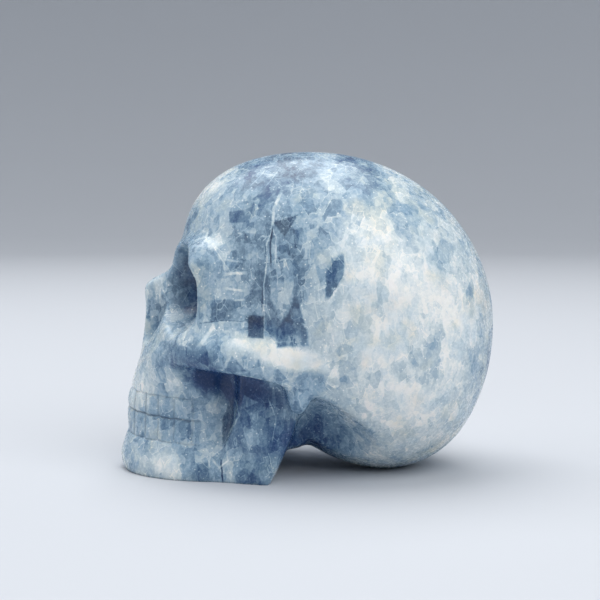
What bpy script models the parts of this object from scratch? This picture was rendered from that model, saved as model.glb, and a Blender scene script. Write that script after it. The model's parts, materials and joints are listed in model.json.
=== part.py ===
"""A skull carved from one lump of blue calcite, ground and polished all over.

Sizes are in millimetres up to the moment a mesh is made. The face looks along -Y, +X is the skull's own
left side, and the piece stands on Z = 0: on the flat of the jaw, and on a small flat under the cranium.
The shape is made as the stone was: a rough mass, hollows ground into it, a polish that rounds every edge,
lines cut for the teeth, and the flats ground last on the underside.
"""

import math

import bmesh
import bpy
from mathutils import Matrix, Vector

MM = 0.001

# Driving dimensions
CRANIUM_HALF_WIDTH = 35.0
CHEEK_HALF_WIDTH = 33.0
JAW_HALF_WIDTH = 27.2
TOOTH_PITCH = 4.7

# The cranium is an egg whose long axis falls towards the back of the head
CRANIUM_CENTRE = (0.0, 9.7, 44.3)
CRANIUM_LONG = 47.4
CRANIUM_SHORT = 36.5
CRANIUM_TILT = -47.4
CRANIUM_PEAR = 0.043
CRANIUM_LEAN = 0.008
CRANIUM_BACK_SPREAD = 0.07

# The stump of a neck left under the cranium, behind the jaw
NECK_CENTRE = (0.0, -4.0, 9.3)
NECK_RADII = (18.0, 5.5, 3.6)

# Level rings of the upper face: height, front edge, half width, where the sides start, squareness, and
# how much wider the sides have grown where they end inside the cranium
UPPER_RINGS = (
    (70.0, -24.0, 14.5, -10.0, 2.0, 4.0),
    (64.0, -31.0, 20.8, -15.0, 2.3, 6.0),
    (60.5, -34.6, 23.8, -17.0, 2.9, 7.0),
    (56.0, -35.7, 26.0, -18.0, 3.2, 7.5),
    (50.0, -35.8, 26.6, -18.0, 2.6, 7.5),
    (45.0, -37.0, 27.2, -17.0, 2.4, 6.0),
    (41.0, -39.1, 28.3, -15.0, 2.2, 3.5),
    (38.4, -40.2, CHEEK_HALF_WIDTH - 3.0, -14.5, 2.15, 1.5),
    (36.0, -41.0, CHEEK_HALF_WIDTH - 0.8, -14.0, 2.1, 0.0),
    (32.5, -41.5, CHEEK_HALF_WIDTH, -13.0, 2.1, 0.0),
    (28.0, -40.5, CHEEK_HALF_WIDTH - 0.6, -12.0, 2.0, 0.0),
    (20.0, -40.5, CHEEK_HALF_WIDTH - 2.5, -12.0, 2.0, -3.0),
    (15.0, -40.5, CHEEK_HALF_WIDTH - 4.0, -12.0, 2.0, -5.5),
)
UPPER_BACK = 8.0

# Level rings of the teeth and the lower jaw, in the same terms, ending inside the jaw's upright branches
LOWER_RINGS = (
    (38.0, -41.5, 19.0, -27.0, 2.0, -4.0),
    (33.0, -43.9, 22.4, -29.5, 2.0, -7.0),
    (28.5, -45.6, 20.8, -29.0, 2.0, -5.0),
    (24.0, -47.1, 18.4, -27.0, 2.1, -1.5),
    (20.0, -48.2, 17.2, -26.0, 2.2, 0.0),
    (16.4, -48.7, 17.3, -26.0, 2.2, 0.5),
    (11.5, -48.1, 18.0, -25.0, 2.2, 1.5),
    (8.6, -49.3, 19.8, -24.0, 2.1, 3.0),
    (4.2, -50.6, 22.3, -23.0, 2.0, 5.0),
    (1.3, -50.2, 23.0, -23.0, 2.0, 4.6),
    (-1.0, -48.6, 22.5, -23.0, 2.0, 4.6),
    (-4.0, -44.0, 19.5, -23.0, 2.0, 5.0),
)
LOWER_BACK = -9.5

# Level rings of the jaw's upright branches: height, front edge, half width there, back edge, half width there
BRANCH_RINGS = (
    (35.0, -17.8, 23.0, -1.5, 23.5),
    (20.0, -17.8, 24.0, -1.5, 24.5),
    (16.0, -18.6, 24.4, -2.5, 24.8),
    (12.0, -20.2, 24.2, -3.4, 25.5),
    (8.0, -22.4, 22.8, -5.3, 26.3),
    (4.0, -25.0, 22.6, -7.1, JAW_HALF_WIDTH - 0.4),
    (1.5, -26.0, 22.4, -8.3, JAW_HALF_WIDTH),
    (-1.0, -27.0, 21.8, -10.5, JAW_HALF_WIDTH - 0.6),
    (-4.0, -27.0, 20.0, -13.5, JAW_HALF_WIDTH - 2.5),
)
BRANCH_CHAMFER = 1.8

# Side outlines, as (Y, Z): the ground-away space under the cheeks, and the nose
UNDERCUT_OUTLINE = (
    (-60.0, 30.2),
    (-30.7, 29.9),
    (-18.2, 28.9),
    (-14.2, 28.2),
    (-8.5, 26.9),
    (-4.5, 25.4),
    (-3.5, 22.0),
    (-3.5, 16.0),
    (-9.0, 0.0),
    (-9.0, -12.0),
    (-60.0, -12.0),
)
NOSE_OUTLINE = (
    (-30.0, 57.5),
    (-34.2, 55.4),
    (-36.3, 53.7),
    (-39.6, 52.1),
    (-41.8, 51.1),
    (-43.8, 49.3),
    (-43.4, 42.0),
    (-44.0, 36.5),
    (-44.8, 31.0),
    (-30.0, 31.0),
)
NOSE_ROOT_HALF_WIDTH = 9.0
NOSE_RIDGE_HALF_WIDTH = 2.4
NOSE_ROOT_Y = -35.0

# The tongues that the cheek ledges end in, in front of the flutes, in the same terms as the hollows below
TONGUE = ((27.4, -2.0, 24.2), (3.9, 3.3, 6.3), 0.0, 0.0)

# Hollows ground in pairs: centre of the left one, half sizes, and its turns about X and about Z in degrees
TOOTH_END = ((20.0, -21.5, 19.5), (4.2, 3.3, 9.5), 0.0, 0.0)
FLUTE = ((33.0, 6.5, 5.8), (18.0, 28.0, 13.5), -37.0, 0.0)
SOCKET = ((15.0, -35.6, 50.7), (9.6, 14.0, 11.0), 0.0, 18.0)
SOCKET_CORNER = ((17.6, -34.8, 48.6), (8.8, 12.5, 9.8), 0.0, 22.0)
SOCKET_FOOT = ((19.2, -34.0, 45.2), (6.9, 12.0, 7.4), 0.0, 20.0)
NOSTRIL = ((4.7, -42.6, 40.6), (3.2, 5.6, 7.0), -12.0, 0.0)

# Lines cut round the teeth: height at the front, height at the last tooth
MOUTH_LINE = (17.3, 14.6)
UPPER_GUM_LINE = (22.4, 20.4)
LOWER_GUM_LINE = (10.6, 8.8)
TOOTH_LINES_A_SIDE = 7
STATIONS_A_TOOTH = 2
STATIONS_UP_A_TOOTH = 3
LINE_DEPTH = 0.55
LINE_HALF_WIDTH = 0.4

STONE_COLOUR = (0.46, 0.56, 0.68, 1.0)
STONE_ROUGHNESS = 0.22
STONE_IOR = 1.6

# How finely the piece is polished, and how many faces are left before the tooth lines are cut
ROUGH_VOXEL = 0.9
ROUGH_RUBS = 6
FINE_VOXEL = 0.65
FINE_RUBS = 5
MOST_TRIANGLES = 7600

CRISP_EDGE_ANGLE = math.radians(35.0)

# Cutters reach well past the stone
PAST_THE_SIDES = 60.0
PAST_THE_ENDS = 80.0
BELOW_THE_FLATS = 20.0

EGG_SEGMENTS = 64
EGG_RINGS = 40
ARCH_STEPS = 24
ARCH_MEASURING_STEPS = 400


def mm(x, y, z):
    return Vector((x, y, z)) * MM


def new_object(name, bm):
    """Turns a finished bmesh into an object with its faces pointing out."""
    bmesh.ops.recalc_face_normals(bm, faces=bm.faces)
    mesh = bpy.data.meshes.new(name)
    bm.to_mesh(mesh)
    bm.free()
    made = bpy.data.objects.new(name, mesh)
    bpy.context.scene.collection.objects.link(made)
    return made


def egg(name, centre, radii, tilt=0.0, turn=0.0, pear=0.0, lean=0.0, spread=0.0):
    """An ellipsoid. tilt turns it about X and turn about Z, in degrees; pear and lean pull its side
    outline towards a rounded triangle, and spread widens its +Y end."""
    bm = bmesh.new()
    bmesh.ops.create_uvsphere(bm, u_segments=EGG_SEGMENTS, v_segments=EGG_RINGS, radius=1.0)
    for vert in bm.verts:
        x, y, z = vert.co
        swell = 1.0 - pear * (3.0 * y * y * z - z**3) - lean * (y**3 - 3.0 * y * z * z)
        vert.co = Vector((x * radii[0] * swell, y * radii[1] * swell, z * radii[2] * swell))
    place = (
        Matrix.Translation(mm(*centre))
        @ Matrix.Rotation(math.radians(turn), 4, "Z")
        @ Matrix.Rotation(math.radians(tilt), 4, "X")
        @ Matrix.Scale(MM, 4)
    )
    bmesh.ops.transform(bm, matrix=place, verts=bm.verts)
    for vert in bm.verts:
        vert.co.x *= 1.0 + spread * (vert.co.y - centre[1] * MM) / (radii[1] * MM)
    return new_object(name, bm)


def loft(name, loops):
    """A closed solid through level loops of the same number of points, from the top down."""
    bm = bmesh.new()
    rows = [[bm.verts.new(mm(*point)) for point in loop] for loop in loops]
    for upper, lower in zip(rows, rows[1:]):
        for i in range(len(upper)):
            j = (i + 1) % len(upper)
            bm.faces.new((upper[i], upper[j], lower[j], lower[i]))
    bm.faces.new(rows[0])
    bm.faces.new(reversed(rows[-1]))
    return new_object(name, bm)


def arch(name, rings, back):
    """U-shaped level rings that open towards the back of the head, made one solid."""
    loops = []
    for height, front, half_width, side, power, flare in rings:
        loop = [(half_width + flare, back, height)]
        for step in range(ARCH_STEPS + 1):
            angle = math.pi * step / ARCH_STEPS
            across = math.copysign(abs(math.cos(angle)) ** (2 / power), math.cos(angle))
            along = math.sin(angle) ** (2 / power)
            loop.append((half_width * across, side + (front - side) * along, height))
        loop.append((-half_width - flare, back, height))
        loops.append(loop)
    return loft(name, loops)


def block(name, rings, chamfer):
    """Level rings with straight sides and cut-off corners, made one solid."""
    loops = []
    for height, front, front_half_width, back, back_half_width in rings:
        half = (
            (front_half_width - chamfer, front),
            (front_half_width, front + chamfer),
            (back_half_width, back - chamfer),
            (back_half_width - chamfer, back),
        )
        loop = [(x, y, height) for x, y in half] + [(-x, y, height) for x, y in reversed(half)]
        loops.append(loop)
    return loft(name, loops)


def slab(name, outline, half_width_at):
    """A side outline (Y, Z) carried across the head, as wide at each point as half_width_at says."""
    sides = []
    for sign in (1.0, -1.0):
        sides.append([(sign * half_width_at(y, z), y, z) for y, z in outline])
    return loft(name, sides)


def full_width(y, z):
    return PAST_THE_SIDES


def nose_half_width(y, z):
    return NOSE_ROOT_HALF_WIDTH if y > NOSE_ROOT_Y else NOSE_RIDGE_HALF_WIDTH


def combine(made, other, operation):
    """Adds the other shape to the stone, or grinds it away, and keeps it as a hidden guide."""
    modifier = made.modifiers.new(other.name, "BOOLEAN")
    modifier.operation = operation
    modifier.solver = "EXACT"
    modifier.object = other
    other.hide_render = True
    other.display_type = "WIRE"


def polish(made, voxel, rounds):
    """Makes one even skin over the whole piece, and rubs it smooth."""
    skin = made.modifiers.new("skin", "REMESH")
    skin.mode = "VOXEL"
    skin.voxel_size = voxel * MM
    skin.use_smooth_shade = True
    rub = made.modifiers.new("rub", "SMOOTH")
    rub.factor = 0.5
    rub.iterations = rounds


def egg_pair(made, name, left_egg, operation):
    """Adds one egg to the left side, or grinds its hollow there, and does the mirror image on the right."""
    centre, radii, tilt, turn = left_egg
    for side, sign in (("left", 1.0), ("right", -1.0)):
        place = (sign * centre[0], centre[1], centre[2])
        other = egg(f"{name}_{side}", place, radii, tilt=tilt, turn=sign * turn)
        combine(made, other, operation)


def blue_calcite():
    """Polished blue-white stone: pale, a little rough, with no metal in it."""
    stone = bpy.data.materials.new("polished blue calcite")
    stone.use_nodes = True
    shader = stone.node_tree.nodes["Principled BSDF"]
    shader.inputs["Base Color"].default_value = STONE_COLOUR
    shader.inputs["Roughness"].default_value = STONE_ROUGHNESS
    shader.inputs["Metallic"].default_value = 0.0
    shader.inputs["IOR"].default_value = STONE_IOR
    return stone


def rough_mass():
    radii = (CRANIUM_HALF_WIDTH, CRANIUM_LONG, CRANIUM_SHORT)
    skull = egg(
        "skull",
        CRANIUM_CENTRE,
        radii,
        tilt=CRANIUM_TILT,
        pear=CRANIUM_PEAR,
        lean=CRANIUM_LEAN,
        spread=CRANIUM_BACK_SPREAD,
    )
    combine(skull, arch("upper_face", UPPER_RINGS, UPPER_BACK), "UNION")
    combine(skull, slab("undercut", UNDERCUT_OUTLINE, full_width), "DIFFERENCE")
    egg_pair(skull, "flute", FLUTE, "DIFFERENCE")
    egg_pair(skull, "tongue", TONGUE, "UNION")
    combine(skull, arch("lower_face", LOWER_RINGS, LOWER_BACK), "UNION")
    combine(skull, block("branch", BRANCH_RINGS, BRANCH_CHAMFER), "UNION")
    egg_pair(skull, "tooth_end", TOOTH_END, "DIFFERENCE")
    combine(skull, egg("neck", NECK_CENTRE, NECK_RADII), "UNION")
    combine(skull, slab("nose", NOSE_OUTLINE, nose_half_width), "UNION")
    polish(skull, ROUGH_VOXEL, ROUGH_RUBS)
    return skull


def carve(skull):
    egg_pair(skull, "socket", SOCKET, "DIFFERENCE")
    egg_pair(skull, "socket_corner", SOCKET_CORNER, "DIFFERENCE")
    egg_pair(skull, "socket_foot", SOCKET_FOOT, "DIFFERENCE")
    egg_pair(skull, "nostril", NOSTRIL, "DIFFERENCE")
    polish(skull, FINE_VOXEL, FINE_RUBS)


def thin_out(skull):
    """Takes faces away where the surface is even, down to the number wanted."""
    bpy.context.view_layer.update()
    seen = skull.evaluated_get(bpy.context.evaluated_depsgraph_get())
    mesh = seen.to_mesh()
    mesh.calc_loop_triangles()
    fewer = MOST_TRIANGLES / len(mesh.loop_triangles)
    seen.to_mesh_clear()
    skull.modifiers.new("fewer faces", "DECIMATE").ratio = fewer


def ring_at(height):
    """What the level ring through the teeth measures at any height."""
    for upper, lower in zip(LOWER_RINGS, LOWER_RINGS[1:]):
        if lower[0] <= height:
            break
    share = (height - lower[0]) / (upper[0] - lower[0])
    return [low + (high - low) * share for low, high in zip(lower[1:], upper[1:])]


def on_arch(distance, height):
    """A point on the wall of teeth, this far round from the middle, and the way out from the wall."""
    front, half_width, side, power, _ = ring_at(height)
    gone = 0.0
    before = Vector((0.0, front, height))
    for step in range(1, ARCH_MEASURING_STEPS + 1):
        angle = math.pi / 2 * (1.0 - step / ARCH_MEASURING_STEPS)
        x = half_width * math.cos(angle) ** (2 / power)
        y = side + (front - side) * math.sin(angle) ** (2 / power)
        here = Vector((x, y, height))
        along = here - before
        if gone + along.length >= abs(distance):
            break
        gone += along.length
        before = here
    else:
        along = Vector((0.0, 1.0, 0.0))
    along.normalize()
    spot = before + along * (abs(distance) - gone)
    out = along.cross(Vector((0.0, 0.0, 1.0)))
    sign = math.copysign(1.0, distance)
    return Vector((spot.x * sign, spot.y, spot.z)), Vector((out.x * sign, out.y, 0.0))


def groove(name, path):
    """A long diamond-shaped cutter through points on the wall of teeth."""
    bm = bmesh.new()
    loops = []
    for i, (spot, out) in enumerate(path):
        run = path[min(i + 1, len(path) - 1)][0] - path[max(i - 1, 0)][0]
        across = run.cross(out).normalized() * LINE_HALF_WIDTH
        deep = out.normalized() * LINE_DEPTH
        corners = (spot + deep, spot + across, spot - deep, spot - across)
        loops.append([bm.verts.new(corner * MM) for corner in corners])
    for first, second in zip(loops, loops[1:]):
        for i in range(4):
            j = (i + 1) % 4
            bm.faces.new((first[i], first[j], second[j], second[i]))
    bm.faces.new(reversed(loops[0]))
    bm.faces.new(loops[-1])
    return new_object(name, bm)


def cut_teeth(skull):
    reach = TOOTH_PITCH * TOOTH_LINES_A_SIDE
    lines = (("mouth", MOUTH_LINE), ("upper_gum", UPPER_GUM_LINE), ("lower_gum", LOWER_GUM_LINE))
    for name, (front, end) in lines:
        count = STATIONS_A_TOOTH * TOOTH_LINES_A_SIDE
        path = []
        for i in range(-count, count + 1):
            share = i / count
            path.append(on_arch(reach * share, front + (end - front) * abs(share)))
        combine(skull, groove(name + "_line", path), "DIFFERENCE")
    for tooth in range(-TOOTH_LINES_A_SIDE, TOOTH_LINES_A_SIDE + 1):
        share = abs(tooth) / TOOTH_LINES_A_SIDE
        top, foot = (front + (end - front) * share for front, end in (UPPER_GUM_LINE, LOWER_GUM_LINE))
        up = [i / STATIONS_UP_A_TOOTH for i in range(STATIONS_UP_A_TOOTH + 1)]
        heights = [foot + (top - foot) * part for part in up]
        path = [on_arch(tooth * TOOTH_PITCH, height) for height in heights]
        combine(skull, groove(f"tooth_line_{tooth + TOOTH_LINES_A_SIDE}", path), "DIFFERENCE")


def grind_flats(skull):
    outline = (
        (-PAST_THE_ENDS, 0.0),
        (PAST_THE_ENDS, 0.0),
        (PAST_THE_ENDS, -BELOW_THE_FLATS),
        (-PAST_THE_ENDS, -BELOW_THE_FLATS),
    )
    combine(skull, slab("floor", outline, full_width), "DIFFERENCE")


def finish(skull):
    """Gives the stone its material, and keeps the flats and the tooth lines crisp in its smooth shading."""
    skull.data.materials.append(blue_calcite())
    crisp = skull.modifiers.new("crisp edges", "EDGE_SPLIT")
    crisp.split_angle = CRISP_EDGE_ANGLE


def main():
    for old in list(bpy.data.objects):
        bpy.data.objects.remove(old)
    skull = rough_mass()
    carve(skull)
    thin_out(skull)
    cut_teeth(skull)
    grind_flats(skull)
    finish(skull)


main()
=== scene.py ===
"""Dresses the carved skull: one lump of blue calcite, ground to shape, cut with tooth lines and polished.

Blender works in metres. Sizes are named in millimetres here, and MM turns them to metres. The face looks
along -Y, +X is the skull's own left side, which the camera sees, and the stone rests on Z = 0.
"""

import json
import math

import bpy
import numpy as np
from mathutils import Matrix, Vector

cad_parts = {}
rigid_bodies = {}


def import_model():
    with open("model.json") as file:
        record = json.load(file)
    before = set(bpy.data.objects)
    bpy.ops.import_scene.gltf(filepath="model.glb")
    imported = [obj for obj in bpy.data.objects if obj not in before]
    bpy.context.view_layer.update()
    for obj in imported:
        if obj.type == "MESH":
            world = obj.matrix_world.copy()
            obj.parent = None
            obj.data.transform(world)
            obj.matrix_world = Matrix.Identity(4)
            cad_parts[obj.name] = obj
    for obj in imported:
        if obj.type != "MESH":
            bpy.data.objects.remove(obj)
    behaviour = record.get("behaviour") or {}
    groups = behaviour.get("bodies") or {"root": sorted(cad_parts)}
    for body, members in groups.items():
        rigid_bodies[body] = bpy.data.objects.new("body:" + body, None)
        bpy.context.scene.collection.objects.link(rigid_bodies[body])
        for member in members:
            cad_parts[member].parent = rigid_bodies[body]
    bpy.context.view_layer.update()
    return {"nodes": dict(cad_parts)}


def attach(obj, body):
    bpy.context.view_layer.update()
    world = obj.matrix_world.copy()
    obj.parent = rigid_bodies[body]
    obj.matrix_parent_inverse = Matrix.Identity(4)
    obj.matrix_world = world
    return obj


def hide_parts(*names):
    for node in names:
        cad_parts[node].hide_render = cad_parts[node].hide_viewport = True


MM = 0.001

# Camera: where it stood, how far it looked down, and how long its lens was
CAMERA_PLACE_MM = (390.0, -1.71, 77.0)
CAMERA_DOWN_DEGREES = 4.66
CAMERA_LENS_MM = 86.82
CAMERA_SENSOR_MM = 36.0
CAMERA_SEES_FROM_MM = 10.0

# Grinding and polishing
CORNERS_JOIN_MM = 0.002
SKIN_VOXEL_MM = 0.7
BROAD_RUBS = 28
FINE_RUBS = 5
TEETH_RUBS = 20
LINE_RUBS = 4
RUB_STRENGTH = 0.5
WEIGHT_STEPS = 16
HAND_WAVER_MM = 0.22
HAND_WAVER_ACROSS_MM = 13.0
HAND_WAVER_MIDDLE = 0.55
FLAT_EDGE_DEGREES = 50.0

# Where the broad rubbing fades in, from none of it to all: above the flat base, which holds for the waver
# too, behind the face, and above or behind the flute
BASE_GUARD_MM = (0.25, 1.3)
BEHIND_FACE_MM = (-24.0, -12.0)
ABOVE_FLUTE_MM = (30.0, 38.0)
BEHIND_FLUTE_MM = (20.0, 30.0)

# Where the rubbing along the teeth ends: how far past the last tooth and over what length, how far forward
# of the middle, and how far beyond the gum lines
TEETH_RUB_PAST_MM = 3.0
TEETH_RUB_FADE_MM = 2.5
TEETH_RUB_FORWARD_MM = (17.0, 19.5)
TEETH_RUB_BEYOND_GUM_MM = (0.5, 2.5)

# The wall of teeth, seen from above: front, half width, where its sides start, and its squareness
TEETH_FRONT_MM = -48.7
TEETH_HALF_WIDTH_MM = 17.3
TEETH_SIDE_MM = -26.0
TEETH_SQUARENESS = 2.2
TEETH_BACK_MM = -10.0
ARCH_STEPS = 240
TOOTH_PITCH_MM = 4.7
TEETH_A_SIDE = 7
TOOTH_UNEVENNESS_MM = 0.28
MOUTH_LINE_MM = (17.3, 14.6)
UPPER_GUM_MM = (22.4, 20.4)
LOWER_GUM_MM = (10.6, 8.8)
MOUTH_LINE_DEEP_MM = 0.5
GUM_LINE_DEEP_MM = 0.32
TOOTH_LINE_DEEP_MM = 0.25
FRONT_TOOTH_LINE_DEEP_MM = 0.44
FRONT_TEETH_MM = (11.0, 19.0)
LINE_HALF_WIDTH_MM = 0.25
LINES_FADE_MM = 6.0
ROWS_PAST_GUM_MM = 0.3
ROWS_FADE_MM = 0.5
TOOTH_CROWN_MM = 0.42
CROWN_SUNK_SHARE = 0.6
CROWN_SHAPE_ACROSS = 0.7
CROWN_SHAPE_UP = 0.5
TEETH_ZONE_MM = {"x": 24.0, "y": -19.0, "low": 7.0, "high": 24.5}
LINE_ZONE_MM = 0.6

# The teeth are uneven by a wave with these radians for each tooth and at the middle, and the mouth and gum
# lines wobble by waves with this height and these radians for each millimetre and at the middle
TOOTH_UNEVENNESS_WAVE = (2.3, 0.7)
LINE_WAVES = ((0.1, 1.1, 0.0), (0.06, 2.7, 1.0))

# How much grit and painted shade a line holds where the mouth line holds 1, and how much more there is
# between front teeth
TOOTH_LINE_GRIT_AND_SHADE = 0.25
FRONT_LINE_GRIT_AND_SHADE = 0.35
GUM_LINE_GRIT_AND_SHADE = 0.2


def on_linear(value):
    return value / 12.92 if value <= 0.04045 else ((value + 0.055) / 1.055) ** 2.4


def colour(hex_text, alpha=1.0):
    """An sRGB hex colour as the linear one that a shader takes."""
    parts = [int(hex_text[i : i + 2], 16) / 255 for i in (1, 3, 5)]
    return (*[on_linear(part) for part in parts], alpha)


def ramp(values, low, high):
    """0 below low, 1 above high, and a soft step between them."""
    share = np.clip((values - low) / (high - low), 0.0, 1.0)
    return share * share * (3.0 - 2.0 * share)


# Picking and changing objects


def nothing_selected():
    for thing in list(bpy.context.selected_objects):
        thing.select_set(False)


def pick(thing):
    nothing_selected()
    thing.select_set(True)
    bpy.context.view_layer.objects.active = thing


def apply_modifier(thing, kind, **settings):
    """Puts one modifier on the piece and applies it."""
    pick(thing)
    modifier = thing.modifiers.new(kind.lower(), kind)
    for name, value in settings.items():
        setattr(modifier, name, value)
    bpy.ops.object.modifier_apply(modifier=modifier.name)


def points_of(thing):
    """Every vertex of the piece, in millimetres."""
    flat = np.empty(len(thing.data.vertices) * 3)
    thing.data.vertices.foreach_get("co", flat)
    return flat.reshape(-1, 3) / MM


def normals_of(thing):
    flat = np.empty(len(thing.data.vertices) * 3, np.float32)
    thing.data.vertex_normals.foreach_get("vector", flat)
    return flat.reshape(-1, 3)


def set_points(thing, points):
    thing.data.vertices.foreach_set("co", (points * MM).ravel())
    thing.data.update()


def weigh(thing, name, weights):
    """Keeps one weight for each vertex, in a vertex group."""
    group = thing.vertex_groups.new(name=name)
    for step in range(1, WEIGHT_STEPS + 1):
        members = np.flatnonzero(np.round(weights * WEIGHT_STEPS) == step)
        if len(members):
            group.add([int(i) for i in members], step / WEIGHT_STEPS, "REPLACE")
    return group.name


# The stone's form


def rough_stone(node):
    """A copy of the solid, joined up at its corners, to be polished."""
    pick(node)
    bpy.ops.object.duplicate()
    stone = bpy.context.view_layer.objects.active
    bpy.ops.object.parent_clear(type="CLEAR_KEEP_TRANSFORM")
    for key in list(stone.keys()):
        del stone[key]
    stone.name = "skull_stone"
    stone.data.name = "skull_stone"
    stone.data.materials.clear()
    bpy.ops.object.mode_set(mode="EDIT")
    bpy.ops.mesh.select_all(action="SELECT")
    bpy.ops.mesh.remove_doubles(threshold=CORNERS_JOIN_MM * MM)
    bpy.ops.object.mode_set(mode="OBJECT")
    return stone


def polish(stone):
    """Rubs the cut faces away: hard over the cranium, along the teeth to clear them for their lines, and
    lightly over all of it."""
    pick(stone)
    stone.data.remesh_voxel_size = SKIN_VOXEL_MM * MM
    bpy.ops.object.voxel_remesh()
    points = points_of(stone)
    along, height = points[:, 1], points[:, 2]
    off_the_base = ramp(height, *BASE_GUARD_MM)
    behind_the_face = ramp(along, *BEHIND_FACE_MM)
    clear_of_the_flute = np.maximum(ramp(height, *ABOVE_FLUTE_MM), ramp(along, *BEHIND_FLUTE_MM))
    broad = weigh(stone, "broad", off_the_base * np.minimum(behind_the_face, clear_of_the_flute))
    weigh(stone, "off the base", off_the_base)
    left_of_the_rows = TOOTH_PITCH_MM * TEETH_A_SIDE + TEETH_RUB_PAST_MM - np.abs(distance_round(points))
    beside = ramp(left_of_the_rows, 0.0, TEETH_RUB_FADE_MM) * ramp(-along, *TEETH_RUB_FORWARD_MM)
    near, far = TEETH_RUB_BEYOND_GUM_MM
    rows = beside * ramp(height, LOWER_GUM_MM[1] - far, LOWER_GUM_MM[1] - near)
    rows = rows * ramp(-height, -UPPER_GUM_MM[0] - far, -UPPER_GUM_MM[0] - near)
    teeth = weigh(stone, "teeth", rows)
    apply_modifier(stone, "SMOOTH", factor=RUB_STRENGTH, iterations=BROAD_RUBS, vertex_group=broad)
    apply_modifier(stone, "SMOOTH", factor=RUB_STRENGTH, iterations=TEETH_RUBS, vertex_group=teeth)
    apply_modifier(stone, "SMOOTH", factor=RUB_STRENGTH, iterations=FINE_RUBS)


def waver(stone):
    """The faint unevenness of a surface that was ground by hand."""
    clouds = bpy.data.textures.new("hand grinding", "CLOUDS")
    clouds.noise_scale = HAND_WAVER_ACROSS_MM * MM
    clouds.noise_depth = 1
    apply_modifier(
        stone,
        "DISPLACE",
        texture=clouds,
        texture_coords="LOCAL",
        strength=HAND_WAVER_MM * MM,
        mid_level=HAND_WAVER_MIDDLE,
        vertex_group="off the base",
    )


def teeth_wall():
    """Points along the wall of teeth on the left side, from the middle back, and how far along each is."""
    angles = np.linspace(math.pi / 2, 0.0, ARCH_STEPS)
    across = TEETH_HALF_WIDTH_MM * np.cos(angles) ** (2 / TEETH_SQUARENESS)
    along = TEETH_SIDE_MM + (TEETH_FRONT_MM - TEETH_SIDE_MM) * np.sin(angles) ** (2 / TEETH_SQUARENESS)
    wall = np.column_stack([across, along])
    wall = np.vstack([wall, [TEETH_HALF_WIDTH_MM, TEETH_BACK_MM]])
    steps = np.linalg.norm(np.diff(wall, axis=0), axis=1)
    return wall, np.concatenate([[0.0], np.cumsum(steps)])


def distance_round(points):
    """How far round the wall of teeth each point is from the middle, minus on the right side."""
    wall, gone = teeth_wall()
    spots = np.column_stack([np.abs(points[:, 0]), points[:, 1]])
    nearest = np.full(len(spots), np.inf)
    found = np.zeros(len(spots))
    for start, end, so_far in zip(wall, wall[1:], gone):
        run = end - start
        length = np.linalg.norm(run)
        share = np.clip(((spots - start) @ run) / length**2, 0.0, 1.0)
        away = np.linalg.norm(spots - start - share[:, None] * run, axis=1)
        closer = away < nearest
        nearest[closer] = away[closer]
        found[closer] = so_far + share[closer] * length
    return np.where(points[:, 0] < 0.0, -found, found)


def tooth_measures(points):
    """For each point: its distance from the nearest line between teeth, from the mouth line and from the
    two gum lines, how far it lies inside the rows of teeth, how far across and up its own tooth it is, and
    how near the front that tooth is."""
    reach = TOOTH_PITCH_MM * TEETH_A_SIDE
    round_it = distance_round(points)
    height = points[:, 2]
    share = np.clip(np.abs(round_it) / reach, 0.0, 1.0)
    wobble = sum(rise * np.sin(turn * round_it + start) for rise, turn, start in LINE_WAVES)
    mouth, upper, lower = (
        front + (end - front) * share + wobble for front, end in (MOUTH_LINE_MM, UPPER_GUM_MM, LOWER_GUM_MM)
    )
    numbers = np.arange(-TEETH_A_SIDE, TEETH_A_SIDE + 1)
    turn, start = TOOTH_UNEVENNESS_WAVE
    lines = numbers * TOOTH_PITCH_MM + TOOTH_UNEVENNESS_MM * np.sin(turn * numbers + start)
    index = np.clip(np.searchsorted(lines, round_it), 1, len(lines) - 1)
    left, right = lines[index - 1], lines[index]
    across = np.clip((round_it - left) / (right - left), 0.0, 1.0)
    inner = lines[1:-1]
    index = np.clip(np.searchsorted(inner, round_it), 1, len(inner) - 1)
    from_line = np.minimum(np.abs(round_it - inner[index - 1]), np.abs(round_it - inner[index]))
    up = np.where(height > mouth, (height - mouth) / (upper - mouth), (mouth - height) / (mouth - lower))
    inside = ramp(reach - np.abs(round_it), 0.0, LINES_FADE_MM)
    below_upper = ramp(upper + ROWS_PAST_GUM_MM - height, 0.0, ROWS_FADE_MM)
    rows = below_upper * ramp(height - lower + ROWS_PAST_GUM_MM, 0.0, ROWS_FADE_MM)
    return {
        "tooth line": from_line,
        "mouth": np.abs(height - mouth),
        "gum": np.minimum(np.abs(height - upper), np.abs(height - lower)),
        "inside": inside,
        "rows": rows * inside,
        "across": across,
        "up": np.clip(up, 0.0, 1.0),
        "front": ramp(-np.abs(round_it), -FRONT_TEETH_MM[1], -FRONT_TEETH_MM[0]),
    }


def in_teeth_zone(points):
    zone = TEETH_ZONE_MM
    beside = (np.abs(points[:, 0]) < zone["x"]) & (points[:, 1] < zone["y"])
    return beside & (points[:, 2] > zone["low"]) & (points[:, 2] < zone["high"])


def face_middles(thing):
    flat = np.empty(len(thing.data.polygons) * 3, np.float32)
    thing.data.polygons.foreach_get("center", flat)
    return flat.reshape(-1, 3) / MM


def subdivide_where(thing, chosen):
    """Subdivides the faces that the array chooses."""
    pick(thing)
    for part in (thing.data.vertices, thing.data.edges):
        part.foreach_set("select", np.zeros(len(part), bool))
    thing.data.polygons.foreach_set("select", chosen)
    bpy.ops.object.mode_set(mode="EDIT")
    bpy.context.tool_settings.mesh_select_mode = (False, False, True)
    bpy.ops.mesh.subdivide(number_cuts=1)
    bpy.ops.object.mode_set(mode="OBJECT")


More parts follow.
